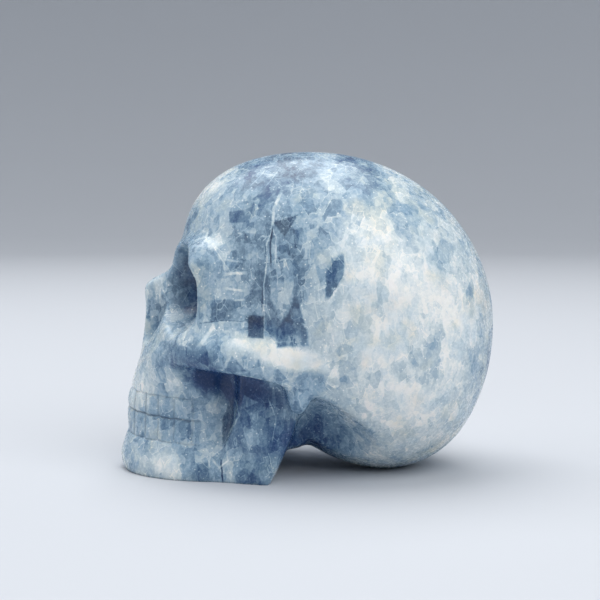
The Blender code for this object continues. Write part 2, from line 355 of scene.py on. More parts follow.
def near_a_line(points):
    """Which points lie near a line of the teeth."""
    there = in_teeth_zone(points)
    close = np.zeros(len(points), bool)
    at = tooth_measures(points[there])
    upright = (at["tooth line"] < LINE_ZONE_MM) & (at["rows"] > 0.0)
    level = (np.minimum(at["mouth"], at["gum"]) < LINE_ZONE_MM) & (at["inside"] > 0.0)
    close[there] = upright | level
    return close


def cut_teeth(stone):
    """Crowns each tooth a little, sinks the lines round it, remembers how much grit and painted shade each
    point catches, and rubs the lines lightly."""
    subdivide_where(stone, near_a_line(face_middles(stone)))
    subdivide_where(stone, near_a_line(face_middles(stone)))
    points = points_of(stone)
    there = in_teeth_zone(points)
    at = tooth_measures(points[there])
    width = LINE_HALF_WIDTH_MM
    upright = np.exp(-((at["tooth line"] / width) ** 2)) * at["rows"]
    mouth = np.exp(-((at["mouth"] / width) ** 2)) * at["inside"]
    gum = np.exp(-((at["gum"] / width) ** 2)) * at["inside"]
    deep = TOOTH_LINE_DEEP_MM + (FRONT_TOOTH_LINE_DEEP_MM - TOOTH_LINE_DEEP_MM) * at["front"]
    sunk = np.maximum.reduce([upright * deep, mouth * MOUTH_LINE_DEEP_MM, gum * GUM_LINE_DEEP_MM])
    crown = np.sin(math.pi * at["across"]) ** CROWN_SHAPE_ACROSS
    crown = crown * np.sin(math.pi * at["up"]) ** CROWN_SHAPE_UP
    lifted = TOOTH_CROWN_MM * (crown - CROWN_SUNK_SHARE) * at["rows"]
    outward = normals_of(stone)[there]
    points[there] += outward * (lifted - sunk)[:, None]
    set_points(stone, points)
    # The cut lines hold grit and painted shade: how much darker each point is drawn
    grit_and_shade = np.zeros(len(points), np.float32)
    upright_grit_and_shade = TOOTH_LINE_GRIT_AND_SHADE + FRONT_LINE_GRIT_AND_SHADE * at["front"]
    grit_and_shade[there] = np.maximum.reduce([upright_grit_and_shade * upright, mouth, GUM_LINE_GRIT_AND_SHADE * gum])
    attribute = stone.data.attributes.new("tooth_line_grit_and_shade", "FLOAT", "POINT")
    attribute.data.foreach_set("value", grit_and_shade)
    beside_lines = weigh(stone, "beside lines", near_a_line(points).astype(float))
    apply_modifier(stone, "SMOOTH", factor=RUB_STRENGTH, iterations=LINE_RUBS, vertex_group=beside_lines)


def flatten_base(stone):
    """Grinds what touches the table exactly level."""
    points = points_of(stone)
    points[points[:, 2] < BASE_GUARD_MM[0], 2] = 0.0
    set_points(stone, points)


def carve_skull(frame):
    stone = rough_stone(frame["nodes"]["skull"])
    polish(stone)
    waver(stone)
    cut_teeth(stone)
    flatten_base(stone)
    stone.vertex_groups.clear()
    pick(stone)
    bpy.ops.object.shade_smooth_by_angle(angle=math.radians(FLAT_EDGE_DEGREES))
    return stone


# Materials


def add(tree, kind, sockets=None, stops=None, **settings):
    """Adds one node with its settings, its socket values or links, and a colour ramp's stops."""
    node = tree.nodes.new(kind)
    for name, value in settings.items():
        setattr(node, name, value)
    for name, value in (sockets or {}).items():
        if isinstance(value, bpy.types.NodeSocket):
            tree.links.new(value, node.inputs[name])
        else:
            node.inputs[name].default_value = value
    if stops:
        band = node.color_ramp
        while len(band.elements) < len(stops):
            band.elements.new(1.0)
        for element, (place, shade) in zip(band.elements, stops):
            element.position = place
            element.color = shade
    return node


# Where the stone is darker or paler than its middle tone, the same on both sides. Some zones are not the
# stone's own tone but painted shade in the hollows and painted light on the cheek ridge and the forehead
# rim. Each zone is a soft egg: its middle and half sizes in X, Y and Z in millimetres, its turn in degrees,
# which leans its top towards the face, and how much paler or darker (minus) the stone is there. A zone that
# runs through the whole skull from side to side is given a far larger half size in X
THROUGH_MM = 1000.0
ZONES = (
    ("white cloud over the back", (0.0, 27.0, 42.0), (THROUGH_MM, 23.0, 28.0), 0.0, 0.27),
    ("milky stone below it", (0.0, 30.0, 14.0), (THROUGH_MM, 24.0, 12.0), 0.0, 0.16),
    ("white cloud high on the side", (0.0, 13.0, 62.0), (THROUGH_MM, 6.0, 13.0), -12.0, 0.13),
    ("clear blue at the temple", (0.0, -9.5, 52.0), (THROUGH_MM, 9.0, 20.0), 0.0, -0.11),
    ("blue crown", (0.0, -9.0, 80.0), (THROUGH_MM, 11.0, 8.0), 0.0, -0.19),
    ("blue patch behind the crown", (0.0, 14.0, 80.0), (THROUGH_MM, 7.0, 5.0), -20.0, -0.2),
    # Painted highlight: the sheen along the rim of the forehead, painted paler
    ("painted highlight on the forehead rim", (0.0, -27.0, 75.0), (16.0, 10.0, 9.0), -40.0, 0.18),
    ("blue low on the back", (0.0, 45.0, 30.0), (THROUGH_MM, 5.0, 14.0), 0.0, -0.08),
    # Painted light: the top of the cheek ridge, which faces up to the lights, painted paler
    ("painted light on the cheek ridge", (0.0, -5.5, 34.0), (THROUGH_MM, 15.0, 3.0), -17.0, 0.42),
    # Painted shade: the hollow under the cheek ridge and where it starts, painted darker
    ("painted shade where the cheek hollow starts", (0.0, -31.0, 31.0), (THROUGH_MM, 9.0, 6.0), -10.0, -0.26),
    ("painted shade under the cheek", (0.0, -18.5, 24.6), (THROUGH_MM, 13.0, 5.4), -13.0, -0.52),
    ("even blue side of the brow", (0.0, -21.0, 50.0), (THROUGH_MM, 5.0, 11.0), 0.0, 0.05),
    # Painted shade: the jaw's branch under the cheek ridge and the flute behind the jaw, painted darker
    ("painted shade on the jaw branch", (0.0, -13.5, 12.0), (THROUGH_MM, 11.0, 13.0), 0.0, -0.17),
    ("painted shade behind the jaw", (0.0, 2.0, 10.0), (THROUGH_MM, 11.0, 9.0), 0.0, -0.34),
    # Painted shade: the hollows of the socket and the nostril, painted darker
    ("painted shade in the socket", (11.5, -28.5, 50.0), (10.5, 8.5, 11.0), 0.0, -0.42),
    ("painted shade in the nostril", (4.6, -40.0, 40.0), (2.6, 3.2, 6.0), 0.0, -0.4),
    ("grey-blue teeth", (0.0, -40.0, 13.0), (THROUGH_MM, 17.0, 7.0), 0.0, -0.1),
    ("paler gums", (0.0, -42.0, 22.5), (THROUGH_MM, 13.0, 5.5), 0.0, 0.16),
    ("white patch on the chin", (0.0, -36.5, 4.0), (THROUGH_MM, 4.0, 5.0), 0.0, 0.24),
    ("paler corner below the socket", (0.0, -33.5, 39.0), (THROUGH_MM, 5.0, 3.0), 0.0, 0.08),
)

# Clear windows (darker) and flaws (paler) that show on the left side, and painted shade in the valley behind
# the teeth. Each is a straight-sided figure: its middle and half sizes in Y and Z in millimetres, its turn in
# degrees, which leans its top towards the face, its shape, the tone inside it, and how strongly it shows
WINDOWS = (
    ("plate on the crown", (-9.0, 79.0), (5.0, 2.6), 14.0, "box", 0.5, 0.45),
    ("second plate on the crown", (12.0, 77.6), (6.0, 2.8), -14.0, "box", 0.52, 0.45),
    ("pale shield over the house", (-6.4, 48.0), (2.8, 4.4), 178.0, "house", 0.7, 0.6),
    ("pale stone behind the house", (2.2, 43.0), (2.0, 6.0), -12.0, "box", 0.66, 0.5),
    ("dark stone over the diamond", (-12.6, 68.8), (3.2, 3.4), 12.0, "house", 0.4, 0.6),
    ("rhomb", (6.9, 53.9), (2.3, 5.6), -18.0, "lozenge", 0.36, 0.85),
    ("pale stone before the rhomb", (3.6, 57.0), (1.6, 4.6), -30.0, "box", 0.74, 0.55),
    ("house", (-3.8, 40.2), (3.9, 4.0), 4.0, "house", 0.3, 0.88),
    ("peak of the house", (-2.8, 45.8), (2.4, 3.6), -3.0, "peak", 0.3, 0.88),
    ("paler peak behind it", (-1.6, 49.4), (1.5, 2.4), -8.0, "peak", 0.48, 0.65),
    ("brown triangle", (-4.6, 67.0), (2.3, 3.0), -52.0, "peak", 0.24, 0.6),
    ("blue panel behind the triangle", (-4.6, 62.4), (2.4, 3.0), -10.0, "box", 0.42, 0.6),
    ("mid-blue rectangle", (-20.2, 44.9), (4.0, 2.6), 2.0, "box", 0.46, 0.8),
    ("small dark square", (-17.7, 68.2), (2.0, 1.5), 6.0, "box", 0.32, 0.7),
    ("dark band at the temple", (-13.0, 62.8), (2.7, 1.3), -4.0, "box", 0.34, 0.6),
    ("brown-black rectangle", (-12.7, 40.9), (2.0, 2.7), -2.0, "box", 0.2, 0.8),
    ("brown patch above it", (-12.6, 48.2), (1.7, 1.8), 4.0, "box", 0.36, 0.65),
    ("small pane", (9.2, 35.9), (2.0, 1.4), 24.0, "house", 0.42, 0.45),
    ("tall pane under it", (9.8, 30.4), (2.3, 3.6), 14.0, "house", 0.52, 0.5),
    ("dark patch by the crown", (-14.4, 78.8), (2.4, 1.1), 24.0, "lozenge", 0.34, 0.7),
    ("pane at the back", (41.8, 49.0), (1.3, 3.2), -14.0, "lozenge", 0.48, 0.5),
    ("higher pane at the back", (34.6, 58.6), (2.4, 3.6), -30.0, "box", 0.54, 0.5),
    ("blue triangle under the ridge", (-18.3, 31.8), (3.0, 2.2), 8.0, "peak", 0.36, 0.8),
    ("second blue triangle", (-12.4, 30.8), (2.4, 2.4), -10.0, "peak", 0.4, 0.75),
    ("third blue triangle", (-25.6, 32.6), (2.9, 2.2), -18.0, "peak", 0.32, 0.8),
    ("fourth blue triangle", (-7.0, 28.8), (2.6, 2.2), 12.0, "peak", 0.42, 0.7),
    # Painted shade in the hollow between the teeth and the jaw's branch
    ("grey valley behind the teeth", (-20.4, 15.0), (1.5, 6.0), -10.0, "lozenge", 0.24, 0.6),
    ("square on the jaw's branch", (-15.0, 17.0), (1.8, 2.2), 8.0, "house", 0.34, 0.6),
    ("pale patch on the jaw's branch", (-15.4, 21.4), (2.6, 1.6), 24.0, "peak", 0.66, 0.5),
    ("dark foot of the jaw", (-26.6, 2.6), (1.5, 2.4), 6.0, "box", 0.4, 0.6),
    ("second dark foot of the jaw", (-15.6, 2.2), (2.6, 1.8), 4.0, "house", 0.36, 0.6),
    ("pale flat below the rectangle", (-21.0, 40.0), (5.2, 2.2), 3.0, "box", 0.62, 0.5),
)

# Thin veins and cracks on the left side: the points they run through in Y and Z in millimetres, half their
# width, the tone of the line, and how strongly it shows
VEINS = (
    ("pale sliver of the main vein", ((-6.8, 74.0), (-8.3, 70.2), (-8.6, 65.6)), 0.34, 0.84, 0.7),
    ("right side of the diamond", ((-8.5, 65.2), (-7.7, 63.1), (-7.9, 56.2)), 0.13, 0.72, 0.65),
    (
        "left side of the diamond",
        ((-8.5, 65.2), (-10.0, 61.8), (-9.9, 57.9), (-10.7, 51.6)),
        0.13,
        0.76,
        0.7,
    ),
    ("first line on the crown", ((-10.8, 75.4), (-6.8, 80.6)), 0.12, 0.88, 0.4),
    ("second line on the crown", ((-14.2, 76.2), (-9.6, 81.2)), 0.12, 0.88, 0.35),
    ("third line on the crown", ((-16.8, 80.4), (-6.0, 78.2)), 0.11, 0.86, 0.3),
    ("dark crack in the diamond", ((-8.6, 65.4), (-9.1, 61.0), (-9.0, 56.8)), 0.2, 0.12, 0.7),
    ("brown vein down to the ridge", ((-10.2, 54.6), (-10.7, 51.6), (-10.7, 39.1)), 0.14, 0.74, 0.65),
    ("dark crack beside the vein", ((-11.1, 50.4), (-11.2, 45.4)), 0.14, 0.2, 0.55),
    ("first level step", ((-20.4, 57.4), (-16.4, 57.0)), 0.26, 0.88, 0.6),
    ("second level step", ((-20.0, 53.9), (-16.0, 54.2)), 0.34, 0.96, 0.75),
    ("third level step", ((-20.2, 50.3), (-16.4, 49.8)), 0.28, 0.95, 0.7),
    ("fourth level step", ((-18.4, 47.3), (-16.0, 47.5)), 0.22, 0.9, 0.6),
    ("line under the rectangle", ((-26.2, 41.5), (-21.0, 42.3), (-16.0, 42.1)), 0.15, 0.3, 0.6),
    ("slanting line by the brow", ((-23.6, 60.6), (-18.8, 53.7)), 0.13, 0.86, 0.5),
    ("first line of the fence", ((10.7, 63.7), (5.2, 57.4)), 0.3, 0.84, 0.55),
    ("second line of the fence", ((13.0, 61.0), (7.6, 51.0), (5.2, 47.5)), 0.24, 0.86, 0.6),
    ("line across the fence", ((6.6, 59.6), (13.4, 52.0)), 0.11, 0.8, 0.55),
    ("lower line across it", ((6.6, 50.6), (10.6, 46.8)), 0.11, 0.8, 0.5),
    ("white streak by the socket", ((-23.8, 40.3), (-26.8, 36.2)), 0.45, 0.95, 0.7),
    (
        "vein at the jaw's front edge",
        ((-18.4, 20.6), (-17.3, 17.6), (-20.8, 10.6), (-20.2, 5.4)),
        0.18,
        0.78,
        0.55,
    ),
    ("vein down the jaw's branch", ((-9.4, 21.0), (-7.8, 17.0), (-8.8, 11.0)), 0.13, 0.76, 0.5),
    ("dark slit in the jaw", ((-22.0, 5.3), (-21.6, 0.6)), 0.2, 0.14, 0.75),
    ("white edge of the notch", ((-24.1, 5.4), (-22.4, 3.8), (-20.2, 5.8)), 0.2, 0.94, 0.65),
)
LEFT_SIDE_FROM_MM = (3.0, 7.0)

# From the clearest stone to the whitest
STONE_SHADES = (
    (0.0, "#1B3A66"),
    (0.15, "#2C4874"),
    (0.3, "#4B698B"),
    (0.44, "#728FA7"),
    (0.58, "#9AB3C5"),
    (0.72, "#BFCED4"),
    (0.86, "#DDE5E6"),
    (1.0, "#F6F5F0"),
)
MIDDLE_TONE = 0.62

# Sizes of the stone's own pattern
CLOUD_MM = 17.0
TINT_MM = 11.0
BLOCK_MM = 6.4
PATCH_MM = 4.5
CELL_MM = 3.1
GRAIN_MM = 1.35
SPECK_MM = 1.15
SUGAR_MM = 0.75

# Nothing in the stone is quite straight: how long its bends and its ragged edges are, and how far they go
BEND_MM = 9.0
BEND_BY_MM = 0.9
RAG_MM = 1.4
RAG_BY_MM = 0.2

# The cleavage planes lean a little, and what lies between them is taller than it is wide
CLEAVAGE_TURN = (math.radians(-13.0), math.radians(9.0), math.radians(6.0))
CLEAVAGE_STRETCH = (1.0, 1.0, 0.62)

# How much of the tone each pattern gives: the wide ones lie under the windows, and the small ones over them
WIDE_SHARES = {"cloud": 0.46, "patch": 0.38}
SMALL_SHARES = {"block": 0.15, "cell": 0.17, "grain": 0.15, "sugar": 0.2}

# A zone fades between these shares of its half sizes
ZONE_FADE = (0.35, 1.35)

# How soft the edge of a window and of a vein is, how much the sides of each shape lean in, and the tone
# below which a figure is grey-black
WINDOW_SOFT = 0.12
VEIN_SOFT = 0.55
SHAPE_LEANS = {"lozenge": 0.75, "peak": 0.5, "house": 0.8}
GREY_BLACK_BELOW = 0.25

# White lines between the cells and between the grains: how wide each is, as a share of a cell or a grain,
# and how pale. They come and go over a little more than one cell or grain
CELL_LINE = (0.05, 0.2)
GRAIN_LINE = (0.05, 0.07)
LINES_COME_AND_GO = 1.3
LINES_SHOW_FROM = (0.5, 0.6)

# Specks that catch the light: where each one fades, how pale it is, and the share of them that is left out
SPECK_FADE = (0.08, 0.22)
SPECK_LIFT = 0.32
SPECKS_LEFT_OUT = 0.55

# Faint tints, each from its own noise: the value from which it shows, its colour and its strength
TINTS = ((0.5, "#FBF4E6", 0.7), (0.5, "#D2E6F4", 0.5), (0.57, "#F2E8DE", 0.5))
TINT_FADE = 0.2

# Smoky grey in some of the dark parts of the upper half
SMOKE = "#565C62"
SMOKE_STRENGTH = 0.5
SMOKE_PLACES = (0.44, 0.56)
SMOKE_TONES = (0.2, 0.62)
SMOKE_ABOVE_MM = (34.0, 42.0)

# Grey-black of the darkest figures
GREY_BLACK = "#3F444B"
GREY_BLACK_STRENGTH = 0.42

# Polish, and the darkening of the cut lines: grit that polishing leaves in them, and painted shade
POLISH_ROUGHNESS = (0.2, 0.32)
GRIT_AND_SHADE = "#4A5468"
GRIT_AND_SHADE_STRENGTH = 0.45
GRIT_ROUGHNESS = 0.35


def stray(tree, mm, by, noise):
    """A push on each point in some direction, which bends the stone's figures or roughens their edges."""
    push = add(tree, "ShaderNodeTexNoise", {"Vector": mm, **noise}).outputs["Color"]
    push = add(tree, "ShaderNodeVectorMath", {0: push, 1: (0.5, 0.5, 0.5)}, operation="SUBTRACT").outputs[0]
    return add(tree, "ShaderNodeVectorMath", {0: push, "Scale": 2 * by}, operation="SCALE").outputs[0]


def cleave(tree, place):
    """Turns and stretches the place so that the patterns lie along the cleavage."""
    return add(
        tree,
        "ShaderNodeMapping",
        {"Vector": place, "Rotation": CLEAVAGE_TURN, "Scale": CLEAVAGE_STRETCH},
        vector_type="POINT",
    ).outputs[0]


def stone_patterns(tree, mm, bent, cleaved):
    """Clouds, then patches and blocks inside them, then cells and grains inside the blocks, and sugar."""
    patterns = {}
    for name, place, size, detail, roughness in (
        ("cloud", bent, CLOUD_MM, 5.0, 0.6),
        ("patch", cleaved, PATCH_MM, 4.0, 0.62),
        ("sugar", mm, SUGAR_MM, 2.0, 0.7),
    ):
        patterns[name] = add(
            tree,
            "ShaderNodeTexNoise",
            {"Vector": place, "Scale": 1 / size, "Detail": detail, "Roughness": roughness},
        ).outputs["Fac"]
    for name, size, randomness, distance in (
        ("block", BLOCK_MM, 0.95, "CHEBYCHEV"),
        ("cell", CELL_MM, 1.0, "CHEBYCHEV"),
        ("grain", GRAIN_MM, 1.0, "EUCLIDEAN"),
    ):
        lumps = add(
            tree,
            "ShaderNodeTexVoronoi",
            {"Vector": cleaved, "Scale": 1 / size, "Randomness": randomness},
            distance=distance,
        )
        patterns[name] = add(tree, "ShaderNodeSeparateColor", {0: lumps.outputs["Color"]}).outputs[0]
        patterns["from the middle of the " + name] = lumps.outputs["Distance"]
    return patterns


def blend_in(tree, tone, patterns, shares):
    """Lets each pattern raise and lower the tone by up to half its share."""
    for name, share in shares.items():
        low = add(tree, "ShaderNodeMath", {0: tone, 1: share / 2}, operation="SUBTRACT").outputs[0]
        lift = {0: patterns[name], 1: share, 2: low}
        tone = add(tree, "ShaderNodeMath", lift, operation="MULTIPLY_ADD").outputs[0]
    return tone


def add_zones(tree, tone, parts):
    """The soft zones, the same on both sides. The parts are X, Y and Z."""
    across = add(tree, "ShaderNodeMath", {0: parts[0]}, operation="ABSOLUTE").outputs[0]
    mirrored = add(tree, "ShaderNodeCombineXYZ", {0: across, 1: parts[1], 2: parts[2]}).outputs[0]
    full, gone = ZONE_FADE
    for name, middle, half, turn, lift in ZONES:
        turned = (math.radians(turn), 0.0, 0.0)
        about = add(
            tree,
            "ShaderNodeMapping",
            {"Vector": mirrored, "Location": middle, "Rotation": turned, "Scale": half},
            vector_type="TEXTURE",
            label=name,
        ).outputs[0]
        away = add(tree, "ShaderNodeVectorMath", {0: about}, operation="LENGTH").outputs["Value"]
        there = add(
            tree,
            "ShaderNodeMapRange",
            {"Value": away, "From Min": full, "From Max": gone, "To Min": lift, "To Max": 0.0},
            interpolation_type="SMOOTHSTEP",
        ).outputs[0]
        tone = add(tree, "ShaderNodeMath", {0: tone, 1: there}, operation="ADD").outputs[0]
    return tone


def all_figures():
    """The windows and the straight stretches of the veins in one list, each with how soft its edge is."""
    figures = [window[:5] + (WINDOW_SOFT,) + window[5:] for window in WINDOWS]
    for name, points, half_width, inside, strength in VEINS:
        for (along, up), (next_along, next_up) in zip(points, points[1:]):
            length = math.hypot(next_along - along, next_up - up)
            turn = math.degrees(math.atan2(next_up - up, next_along - along)) - 90.0
            middle = ((along + next_along) / 2, (up + next_up) / 2)
            half = (half_width, length / 2 + half_width)
            figures.append((name, middle, half, turn, "box", VEIN_SOFT, inside, strength))
    return figures


def out_of_figure(tree, ragged, name, middle, half, turn, shape):
    """How far out from the figure's middle each point lies, 1 on its edge. It takes dot products rather than
    a
    Mapping node for each figure."""
    cosine = math.cos(math.radians(turn))
    sine = math.sin(math.radians(turn))
    ways = []
    for (along, up), size in zip(((cosine, sine), (-sine, cosine)), half):
        axis = (0.0, along / size, up / size)
        way = add(tree, "ShaderNodeVectorMath", {0: ragged, 1: axis}, operation="DOT_PRODUCT", label=name)
        middle_at = (middle[0] * along + middle[1] * up) / size
        way = add(tree, "ShaderNodeMath", {0: way.outputs["Value"], 1: middle_at}, operation="SUBTRACT")
        ways.append(way.outputs[0])
    out_across, out_up = (
        add(tree, "ShaderNodeMath", {0: way}, operation="ABSOLUTE").outputs[0] for way in ways
    )
    rise = out_up
    if shape == "peak":
        rise = add(tree, "ShaderNodeMath", {0: ways[1], 1: 1.0}, operation="ADD").outputs[0]
    if shape == "house":
        rise = add(tree, "ShaderNodeMath", {0: ways[1], 1: 0.0}, operation="MAXIMUM").outputs[0]
    if shape in SHAPE_LEANS:
        lean = {0: rise, 1: SHAPE_LEANS[shape], 2: out_across}
        out_across = add(tree, "ShaderNodeMath", lean, operation="MULTIPLY_ADD").outputs[0]
    return add(tree, "ShaderNodeMath", {0: out_across, 1: out_up}, operation="MAXIMUM").outputs[0]


def add_figures(tree, tone, side, ragged):
    """Draws the left side's windows and veins into the tone, and tells where the grey-black ones are."""
    on_left = add(
        tree,
        "ShaderNodeMapRange",
        {"Value": side, "From Min": LEFT_SIDE_FROM_MM[0], "From Max": LEFT_SIDE_FROM_MM[1]},
    ).outputs[0]
    drawn = tone
    grey_black = 0.0
    for name, middle, half, turn, shape, soft, inside, strength in all_figures():
        out = out_of_figure(tree, ragged, name, middle, half, turn, shape)
        full, gone = 1.0 - soft, 1.0 + soft
        shown = add(
            tree,
            "ShaderNodeMapRange",
            {"Value": out, "From Min": full, "From Max": gone, "To Min": strength, "To Max": 0.0},
            interpolation_type="SMOOTHSTEP",
        ).outputs[0]
        inked = {"Factor": shown, "A": drawn, "B": inside}
        drawn = add(tree, "ShaderNodeMix", inked, data_type="FLOAT").outputs[0]
        if inside < GREY_BLACK_BELOW:
            either = {0: shown, 1: grey_black}
            grey_black = add(tree, "ShaderNodeMath", either, operation="MAXIMUM").outputs[0]
    sides = {"Factor": on_left, "A": tone, "B": drawn}
    tone = add(tree, "ShaderNodeMix", sides, data_type="FLOAT").outputs[0]
    grey_black = add(tree, "ShaderNodeMath", {0: grey_black, 1: on_left}, operation="MULTIPLY").outputs[0]
    return tone, grey_black


def add_white_lines(tree, tone, mm, cleaved, patterns):
    """Thin white lines along the cleavage between some of the cells and grains."""
    second = add(
        tree,
        "ShaderNodeTexVoronoi",
        {"Vector": cleaved, "Scale": 1 / CELL_MM},
        feature="F2",
        distance="CHEBYCHEV",
    ).outputs["Distance"]
    first = patterns["from the middle of the cell"]
    cell_edge = add(tree, "ShaderNodeMath", {0: second, 1: first}, operation="SUBTRACT").outputs[0]
    grain_edge = add(
        tree,
        "ShaderNodeTexVoronoi",
        {"Vector": cleaved, "Scale": 1 / GRAIN_MM},
        feature="DISTANCE_TO_EDGE",
    ).outputs["Distance"]
    for edge, size, (width, lift) in ((cell_edge, CELL_MM, CELL_LINE), (grain_edge, GRAIN_MM, GRAIN_LINE)):
        line = add(
            tree,
            "ShaderNodeMapRange",
            {"Value": edge, "From Min": 0.0, "From Max": width, "To Min": lift, "To Max": 0.0},
            interpolation_type="SMOOTHSTEP",
        ).outputs[0]
        some = add(
            tree,
            "ShaderNodeTexNoise",
            {"Vector": mm, "Scale": 1 / (size * LINES_COME_AND_GO), "Detail": 1.0},
        ).outputs["Fac"]
        some = add(
            tree,
            "ShaderNodeMapRange",
            {"Value": some, "From Min": LINES_SHOW_FROM[0], "From Max": LINES_SHOW_FROM[1]},
            interpolation_type="SMOOTHSTEP",
        ).outputs[0]
        tone = add(tree, "ShaderNodeMath", {0: line, 1: some, 2: tone}, operation="MULTIPLY_ADD").outputs[0]
    return tone


def add_specks(tree, tone, mm):
    specks = add(tree, "ShaderNodeTexVoronoi", {"Vector": mm, "Scale": 1 / SPECK_MM})
    full, gone = SPECK_FADE
    distance = specks.outputs["Distance"]
    speck = add(
        tree,
        "ShaderNodeMapRange",
        {"Value": distance, "From Min": full, "From Max": gone, "To Min": SPECK_LIFT, "To Max": 0.0},
    ).outputs[0]
    chance = add(tree, "ShaderNodeSeparateColor", {0: specks.outputs["Color"]}).outputs[1]
    chosen = add(tree, "ShaderNodeMath", {0: chance, 1: SPECKS_LEFT_OUT}, operation="GREATER_THAN")
    lift = {0: speck, 1: chosen.outputs[0], 2: tone}
    return add(tree, "ShaderNodeMath", lift, operation="MULTIPLY_ADD").outputs[0]


def add_tints(tree, shades, tone, places):
    """Cream, sky blue and rust, each in its own places and strongest where the stone is pale."""
    for place, (start, shade, strength) in zip(places, TINTS):
        full = start + TINT_FADE
        much = add(
            tree,
            "ShaderNodeMapRange",
            {"Value": place, "From Min": start, "From Max": full, "To Min": 0.0, "To Max": strength},
            interpolation_type="SMOOTHSTEP",
        ).outputs[0]
        much = add(
            tree, "ShaderNodeMath", {0: much, 1: tone}, operation="MULTIPLY", use_clamp=True
        ).outputs[0]
        shades = add(
            tree,
            "ShaderNodeMix",
            {0: much, 6: shades, 7: colour(shade)},
            data_type="RGBA",
            blend_type="MULTIPLY",
        ).outputs[2]
    return shades


def smoke_of(tree, tone, place, height):
    """How smoky the stone is: in some places, where it is dark, and above the cheek."""
    full, gone = SMOKE_PLACES
    smoky = add(
        tree,
        "ShaderNodeMapRange",
        {"Value": place, "From Min": full, "From Max": gone, "To Min": SMOKE_STRENGTH, "To Max": 0.0},
        interpolation_type="SMOOTHSTEP",
    ).outputs[0]
    full, gone = SMOKE_TONES
    dark = add(
        tree,
        "ShaderNodeMapRange",
        {"Value": tone, "From Min": full, "From Max": gone, "To Min": 1.0, "To Max": 0.0},
    ).outputs[0]
    smoky = add(tree, "ShaderNodeMath", {0: smoky, 1: dark}, operation="MULTIPLY").outputs[0]
    high = add(
        tree,
        "ShaderNodeMapRange",
        {"Value": height, "From Min": SMOKE_ABOVE_MM[0], "From Max": SMOKE_ABOVE_MM[1]},
    ).outputs[0]
    return add(tree, "ShaderNodeMath", {0: smoky, 1: high}, operation="MULTIPLY").outputs[0]


